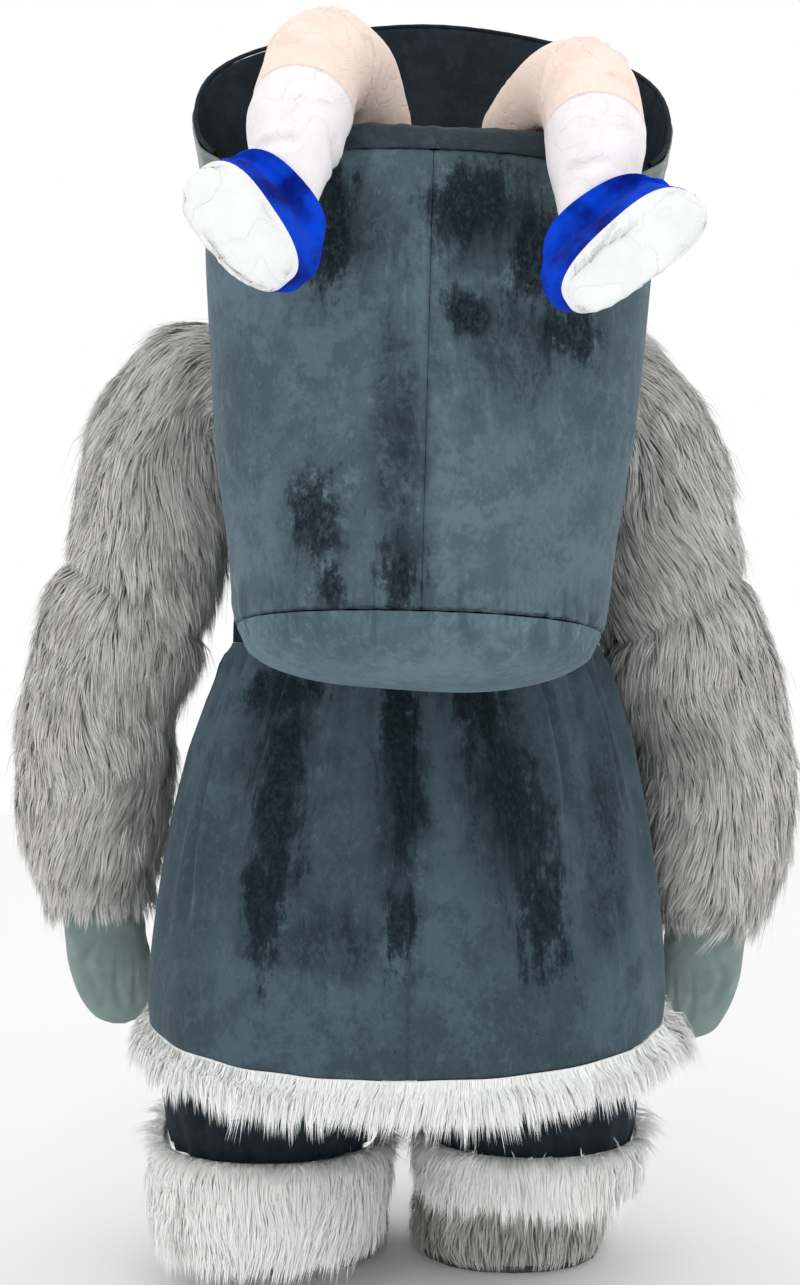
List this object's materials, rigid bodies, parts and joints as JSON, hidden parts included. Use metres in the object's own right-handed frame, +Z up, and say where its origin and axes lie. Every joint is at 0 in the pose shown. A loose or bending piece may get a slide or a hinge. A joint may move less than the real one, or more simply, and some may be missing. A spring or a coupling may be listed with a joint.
{
  "type": "inflatable minotaur costume",
  "caption": "Full-body filled-out creature costume with fur sleeves, velvet tunic and skirt, and a basket with stuffed legs on its back, shown as worn.",
  "frame": {"origin": "where the wearer's shoulders hold the costume up, 1.78 m above the soles, on its middle plane", "axes": "+Z up, +Y the way the wearer faces, +X the wearer's right; the basket is on the -Y side"},
  "size_m": [1.5698, 1.5558, 2.4225],
  "materials": {
    "velvet": "crushed velvet, slate",
    "velvet_dark": "crushed velvet, nap laid dark",
    "satin": "grey-green satin, gathered",
    "grey_fur": "long-pile fake fur, grey",
    "white_fur": "long-pile fake fur, white",
    "felt": "felt, pale grey-green",
    "peach_cloth": "plain weave, peach",
    "white_cloth": "plain weave, white",
    "blue_velvet": "velvet, royal blue",
    "boot_sole": "dark foam sole",
    "horn": "satin",
    "eye": "gloss"
  },
  "bodies": {
    "root": {"basket_bottom": "velvet", "basket_wall_left": "velvet", "basket_wall_right": "velvet", "bodice_back": "velvet", "bodice_front_left": "velvet", "bodice_front_right": "velvet", "skirt_back_left": "velvet", "skirt_back_right": "velvet", "skirt_front_left": "velvet", "skirt_front_right": "velvet", "basket_lid": "velvet_dark", "collar_inner": "velvet_dark", "collar_binding": "velvet_dark", "belt": "velvet_dark", "strap_left": "velvet_dark", "strap_right": "velvet_dark", "breeches_left": "velvet_dark", "breeches_right": "velvet_dark", "breeches_seat": "velvet_dark", "collar_outer": "satin", "sleeve_upper_left": "grey_fur", "sleeve_upper_right": "grey_fur", "sleeve_lower_left": "grey_fur", "sleeve_lower_right": "grey_fur", "foot_fur_left": "grey_fur", "foot_fur_right": "grey_fur", "hood": "grey_fur", "ear_left": "grey_fur", "ear_right": "grey_fur", "skirt_fur_trim": "white_fur", "cuff_fur_left": "white_fur", "cuff_fur_right": "white_fur", "glove_left": "felt", "glove_right": "felt", "thumb_left": "felt", "thumb_right": "felt", "muzzle": "felt", "leg_left": "peach_cloth", "leg_right": "peach_cloth", "sock_left": "white_cloth", "sock_right": "white_cloth", "shoe_sole_left": "white_cloth", "shoe_sole_right": "white_cloth", "shoe_left": "blue_velvet", "shoe_right": "blue_velvet", "sole_left": "boot_sole", "sole_right": "boot_sole", "horn_left": "horn", "horn_right": "horn", "eye_left": "eye", "eye_right": "eye"}
  },
  "joints": []
}
